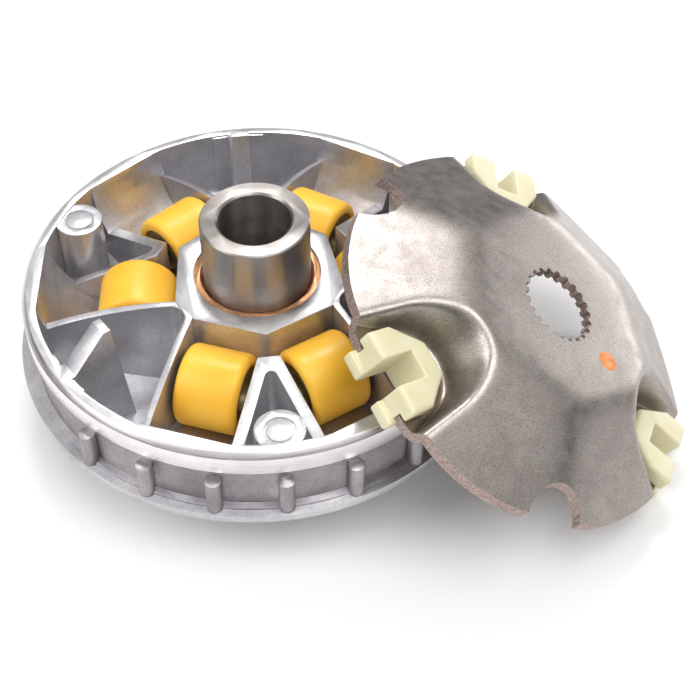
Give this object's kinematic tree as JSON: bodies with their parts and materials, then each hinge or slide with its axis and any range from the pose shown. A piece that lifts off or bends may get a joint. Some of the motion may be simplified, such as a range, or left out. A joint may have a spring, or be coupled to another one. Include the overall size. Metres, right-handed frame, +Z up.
{
  "type": "scooter variator set",
  "caption": "Scooter variator set: finned drive face with steel boss and weight rollers in its tracks, stamped ramp plate with nylon slide pieces leaning beside it.",
  "frame": {"origin": "on the boss axis at table level, where the nose of the drive face and the end of the boss stand", "axes": "+Z up along the boss axis; +Y towards one guide rib; the ramp plate leans on the +X side"},
  "size_m": [0.1494, 0.1206, 0.0567],
  "materials": {
    "cast_aluminium": "die cast with machined hub top, rim top and band",
    "bush_bronze": "satin copper-coloured bearing bush",
    "boss_steel": "turned and ground",
    "roller_nylon": "satin yellow-orange nylon",
    "weight_brass": "turned",
    "plate_steel": "satin stamped and hardened sheet",
    "slide_nylon": "satin cream nylon"
  },
  "bodies": {
    "drive_face": {"housing": "cast_aluminium", "lower_bush": "bush_bronze", "upper_bush": "bush_bronze"},
    "boss": {"boss": "boss_steel"},
    "roller_1": {"roller_sleeve_1": "roller_nylon", "roller_weight_1": "weight_brass"},
    "roller_2": {"roller_sleeve_2": "roller_nylon", "roller_weight_2": "weight_brass"},
    "roller_3": {"roller_sleeve_3": "roller_nylon", "roller_weight_3": "weight_brass"},
    "roller_4": {"roller_sleeve_4": "roller_nylon", "roller_weight_4": "weight_brass"},
    "roller_5": {"roller_sleeve_5": "roller_nylon", "roller_weight_5": "weight_brass"},
    "roller_6": {"roller_sleeve_6": "roller_nylon", "roller_weight_6": "weight_brass"},
    "ramp_plate": {"ramp_plate": "plate_steel"},
    "slide_piece_1": {"slide_piece_1": "slide_nylon"},
    "slide_piece_2": {"slide_piece_2": "slide_nylon"},
    "slide_piece_3": {"slide_piece_3": "slide_nylon"}
  },
  "joints": [
    {"name": "boss_slide", "type": "slide", "parent": "drive_face", "child": "boss", "axis": [0, 0, 1], "range_m": [0, 0.015]},
    {"name": "roller_1_track", "type": "hinge", "parent": "drive_face", "child": "roller_1", "pos_m": [0.02705, 0.00284, 0.0375], "axis": [0.1045, -0.9945, 0], "range_deg": [0, 50]},
    {"name": "roller_2_track", "type": "hinge", "parent": "drive_face", "child": "roller_2", "pos_m": [0.01599, 0.02201, 0.0375], "axis": [0.809, -0.5878, 0], "range_deg": [0, 50]},
    {"name": "roller_3_track", "type": "hinge", "parent": "drive_face", "child": "roller_3", "pos_m": [-0.01599, 0.02201, 0.0375], "axis": [0.809, 0.5878, 0], "range_deg": [0, 50]},
    {"name": "roller_4_track", "type": "hinge", "parent": "drive_face", "child": "roller_4", "pos_m": [-0.02705, 0.00284, 0.0375], "axis": [0.1045, 0.9945, 0], "range_deg": [0, 50]},
    {"name": "roller_5_track", "type": "hinge", "parent": "drive_face", "child": "roller_5", "pos_m": [-0.01106, -0.02485, 0.0375], "axis": [-0.9135, 0.4067, 0], "range_deg": [0, 50]},
    {"name": "roller_6_track", "type": "hinge", "parent": "drive_face", "child": "roller_6", "pos_m": [0.01106, -0.02485, 0.0375], "axis": [-0.9135, -0.4067, 0], "range_deg": [0, 50]},
    {"name": "ramp_plate_lift", "type": "slide", "parent": "drive_face", "child": "ramp_plate", "axis": [0, 0, 1], "range_m": [0, 0.06]},
    {"name": "slide_piece_1_slide", "type": "slide", "parent": "ramp_plate", "child": "slide_piece_1", "axis": [0.0773, 0.9813, 0.176], "range_m": [0, 0.01]},
    {"name": "slide_piece_2_slide", "type": "slide", "parent": "ramp_plate", "child": "slide_piece_2", "axis": [-0.778, -0.5132, 0.3624], "range_m": [0, 0.01]},
    {"name": "slide_piece_3_slide", "type": "slide", "parent": "ramp_plate", "child": "slide_piece_3", "axis": [0.7007, -0.4681, -0.5384], "range_m": [0, 0.002]}
  ]
}
